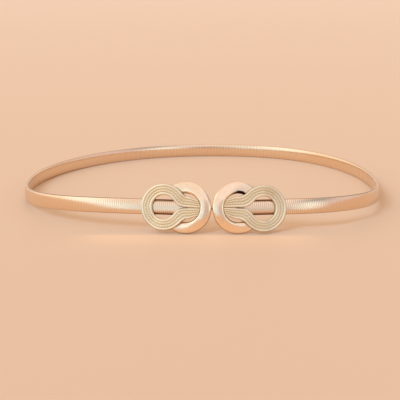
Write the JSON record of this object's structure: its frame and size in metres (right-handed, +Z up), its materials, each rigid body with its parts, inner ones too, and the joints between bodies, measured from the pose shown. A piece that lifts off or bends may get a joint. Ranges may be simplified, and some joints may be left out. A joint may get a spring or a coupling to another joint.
{
  "type": "stretch metal belt with ring and corded-loop buckle",
  "caption": "Stretch waist belt of wound flat gold-coloured wire, standing as an open oval, with a buckle of smooth rings and corded loops.",
  "frame": {"origin": "middle of the belt's box in plan, on the surface that the belt stands on", "axes": "+Z up, off the surface. The buckle faces -Y and the back of the loop is at +Y. +X is to the viewer's right when looking at the buckle, as in the picture."},
  "size_m": [0.1796, 0.2411, 0.0233],
  "materials": {
    "wound_wire": "pale gold plate on close-wound flat steel wire, satin across the windings",
    "polished_cast": "polished pale gold plate on a smooth casting",
    "corded_cast": "pale gold plate, duller, on a corded casting",
    "plain_sheet": "plain pale gold plate on bent sheet steel"
  },
  "bodies": {
    "root": {"band": "wound_wire", "ring_left": "polished_cast", "ring_right": "polished_cast", "knot_left": "corded_cast", "knot_right": "corded_cast", "clasp_hook": "plain_sheet", "end_cap": "plain_sheet"}
  },
  "joints": []
}
